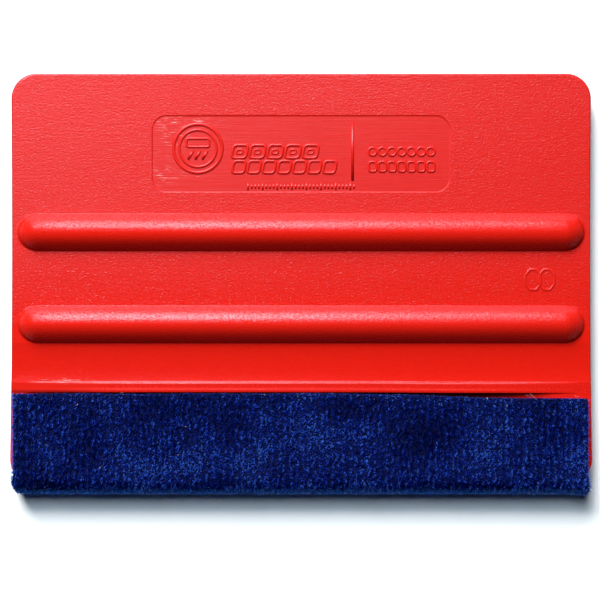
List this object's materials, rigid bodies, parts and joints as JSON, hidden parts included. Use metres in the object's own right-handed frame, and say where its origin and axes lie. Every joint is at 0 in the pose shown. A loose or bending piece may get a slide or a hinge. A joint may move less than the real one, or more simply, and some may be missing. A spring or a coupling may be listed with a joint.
{
  "type": "squeegee applicator",
  "caption": "Flat moulded hand card with half-round grip ribs and a folded velour strip on its working edge, for smoothing vinyl film without scratching.",
  "frame": {"origin": "centre of the footprint on the table, level with the lowest point of the ribs on the back", "axes": "+X along the working edge, +Y from the working edge to the top edge, +Z out of the front face"},
  "size_m": [0.1018, 0.074, 0.0068],
  "materials": {
    "card_plastic": "fine moulded grain on the grip area, smoother on the ribs and near the stop ridge",
    "velour": "short dense pile with a soft sheen",
    "adhesive": "thin translucent double-sided tape"
  },
  "bodies": {
    "root": {"squeegee_card": "card_plastic", "velour_strip": "velour", "adhesive_film": "adhesive"}
  },
  "joints": []
}
